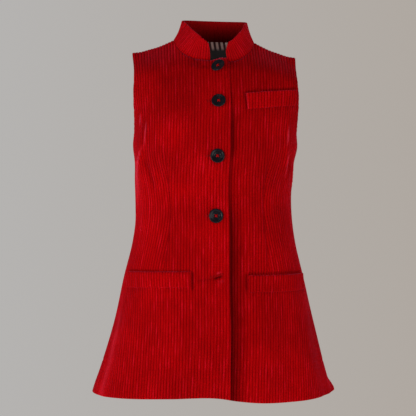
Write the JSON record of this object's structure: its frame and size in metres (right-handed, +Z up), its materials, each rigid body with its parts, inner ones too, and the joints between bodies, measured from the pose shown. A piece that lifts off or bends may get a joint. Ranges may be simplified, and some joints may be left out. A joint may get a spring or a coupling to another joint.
{
  "type": "corduroy vest",
  "caption": "Long A-line sleeveless vest in wide-wale corduroy, worn hollow, with a stand collar, lapped button front, waist darts and welt pockets.",
  "frame": {"origin": "on the middle line of the body at the level where the shoulder seams meet the collar, where the wearer's shoulders hold the vest", "axes": "+Z up, -Y out of the front, +X towards the wearer's left"},
  "size_m": [0.4772, 0.3337, 0.7503],
  "materials": {
    "corduroy": "wide-wale cotton corduroy, soft sheen along the wales",
    "lining": "striped smooth lining",
    "button": "glossy black"
  },
  "bodies": {
    "root": {"front_right": "corduroy", "front_left": "corduroy", "back": "corduroy", "collar": "corduroy", "lining_back": "lining", "chest_welt": "corduroy", "hip_welt_right": "corduroy", "hip_welt_left": "corduroy", "button_1": "button", "button_2": "button", "button_3": "button", "button_4": "button"}
  },
  "joints": []
}
